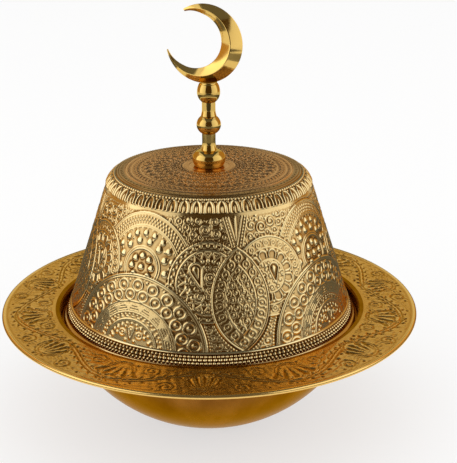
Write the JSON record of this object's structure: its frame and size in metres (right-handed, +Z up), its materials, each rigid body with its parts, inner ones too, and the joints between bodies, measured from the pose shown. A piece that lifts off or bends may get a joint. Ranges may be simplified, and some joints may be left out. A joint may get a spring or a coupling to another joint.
{
  "type": "covered serving dish",
  "caption": "Round flanged dish on a flat base with a tall ornamented lift-off cover, topped by a turned finial and a crescent; holds and covers small servings.",
  "frame": {"origin": "centre of the flat base, on the surface that the dish stands on", "axes": "+Z up along the dish's axis, -Y towards the front, the crescent opens towards -X"},
  "size_m": [0.14, 0.14, 0.14],
  "materials": {
    "dish_gold": "bright plated gold with engraved vine band, satin underside",
    "chased_gold": "antique plated gold with relief ornament and dark recesses",
    "polished_gold": "mirror polished plated gold",
    "fastener_steel": "zinc plated"
  },
  "bodies": {
    "dish": {"serving_dish": "dish_gold"},
    "lid": {"lid_shell": "chased_gold", "finial_base_dome": "polished_gold", "finial_lower_neck": "polished_gold", "finial_lower_ball": "polished_gold", "finial_upper_neck": "polished_gold", "finial_upper_ball": "polished_gold", "finial_stud": "polished_gold", "crescent": "polished_gold", "flat_washer": "fastener_steel", "lock_washer": "fastener_steel", "hex_nut": "fastener_steel"}
  },
  "joints": [
    {"name": "lid_lift", "type": "slide", "parent": "dish", "child": "lid", "axis": [0, 0, 1], "range_m": [0, 0.08]}
  ]
}
